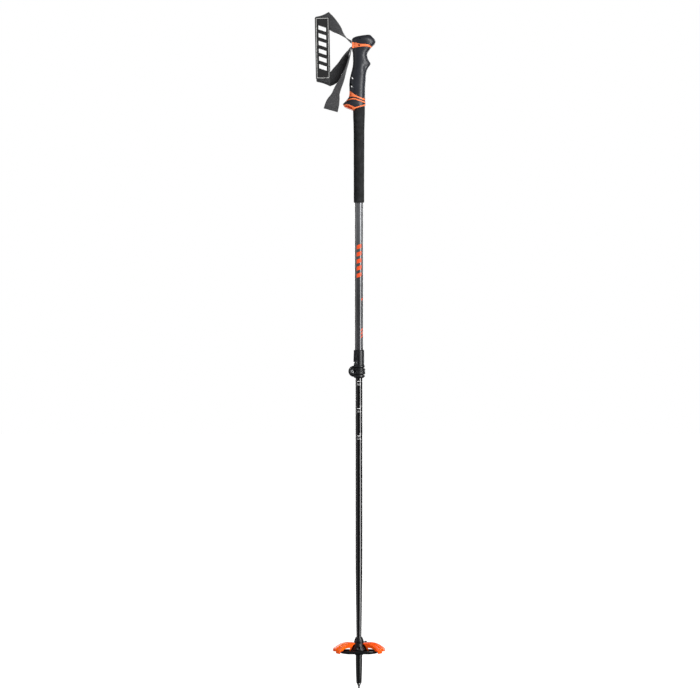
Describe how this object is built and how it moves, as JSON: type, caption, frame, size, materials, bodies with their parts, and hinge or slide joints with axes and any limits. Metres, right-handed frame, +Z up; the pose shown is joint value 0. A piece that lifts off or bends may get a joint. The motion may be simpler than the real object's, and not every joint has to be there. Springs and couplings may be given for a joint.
{
  "type": "ski pole",
  "caption": "Adjustable two-section touring ski pole with a shaped grip, padded wrist strap, foam sleeve, lever clamp and winged powder basket.",
  "frame": {"origin": "middle of the tip's flat end, where it meets the ground", "axes": "+Z up the shaft towards the grip, -X towards the back of the grip and the strap, -Y towards the side with the clamp's screw and lever"},
  "size_m": [0.1293, 0.0638, 1.2412],
  "materials": {
    "grip_plastic": "soft-touch satin",
    "accent_orange": "satin moulded orange",
    "foam": "matte closed-cell foam",
    "core_plastic": "plain moulded",
    "shaft_grey": "satin dark grey lacquer",
    "shaft_black": "gloss black lacquer",
    "clamp_plastic": "satin glass-filled plastic",
    "steel": "bright plated steel",
    "basket_orange": "soft satin orange",
    "basket_black": "semi-gloss black",
    "tip_plastic": "semi-gloss black",
    "carbide": "bare sintered carbide",
    "webbing": "woven polyester webbing",
    "pad_fabric": "padded strap cloth"
  },
  "bodies": {
    "handle": {"grip_head": "grip_plastic", "strap_collar": "accent_orange", "grip_body": "grip_plastic", "grip_band": "accent_orange", "grip_mid_stripe": "grip_plastic", "grip_low_stripe": "accent_orange", "grip_skirt": "grip_plastic", "grip_rim": "accent_orange", "grip_core": "core_plastic", "strap_pin": "steel", "foam_sleeve": "foam", "upper_shaft": "shaft_grey", "shaft_top_plug": "core_plastic", "clamp_body": "clamp_plastic", "clamp_liner": "core_plastic", "lever_pin": "steel", "tension_nut": "steel", "thrust_plate": "steel", "strap_end_upper": "webbing", "strap_end_lower": "webbing", "strap_end_tail": "webbing"},
    "wedge": {"strap_wedge": "clamp_plastic"},
    "strap": {"strap_web_upper": "webbing", "strap_pad": "pad_fabric", "strap_pad_lining": "pad_fabric", "strap_web_lower": "webbing", "strap_tail": "webbing", "strap_tail_tab": "webbing"},
    "lever": {"clamp_lever": "clamp_plastic"},
    "screw": {"tension_screw": "steel"},
    "lower": {"lower_shaft": "shaft_black", "lower_guide_bush": "core_plastic", "tip_sleeve": "tip_plastic", "tip_ferrule": "steel", "carbide_tip": "carbide"},
    "basket": {"basket_lock_cone": "basket_black", "basket_hub": "basket_black", "basket_plate": "basket_black", "basket_wing_left": "basket_orange", "basket_wing_right": "basket_orange", "basket_collar": "basket_black", "basket_knob": "basket_black"}
  },
  "joints": [
    {"name": "shaft_slide", "type": "slide", "parent": "handle", "child": "lower", "axis": [0, 0, -1], "range_m": [-0.107, 0.243]},
    {"name": "lever_swing", "type": "hinge", "parent": "handle", "child": "lever", "pos_m": [-0.0123, -0.0086, 0.5815], "axis": [0, 0, -1], "range_deg": [0, 130]},
    {"name": "tension_screw_turn", "type": "hinge", "parent": "handle", "child": "screw", "pos_m": [-0.0123, -0.0086, 0.5815], "axis": [0, -1, 0], "continuous": true},
    {"name": "basket_turn", "type": "hinge", "parent": "lower", "child": "basket", "pos_m": [0, 0, 0.075], "axis": [0, 0, 1], "continuous": true},
    {"name": "strap_swing", "type": "hinge", "parent": "handle", "child": "strap", "pos_m": [-0.0143, 0, 1.1861], "axis": [0, 1, 0], "range_deg": [0, 45]},
    {"name": "strap_wedge_slide", "type": "slide", "parent": "handle", "child": "wedge", "axis": [-1, 0, 0], "range_m": [0, 0.003]}
  ]
}
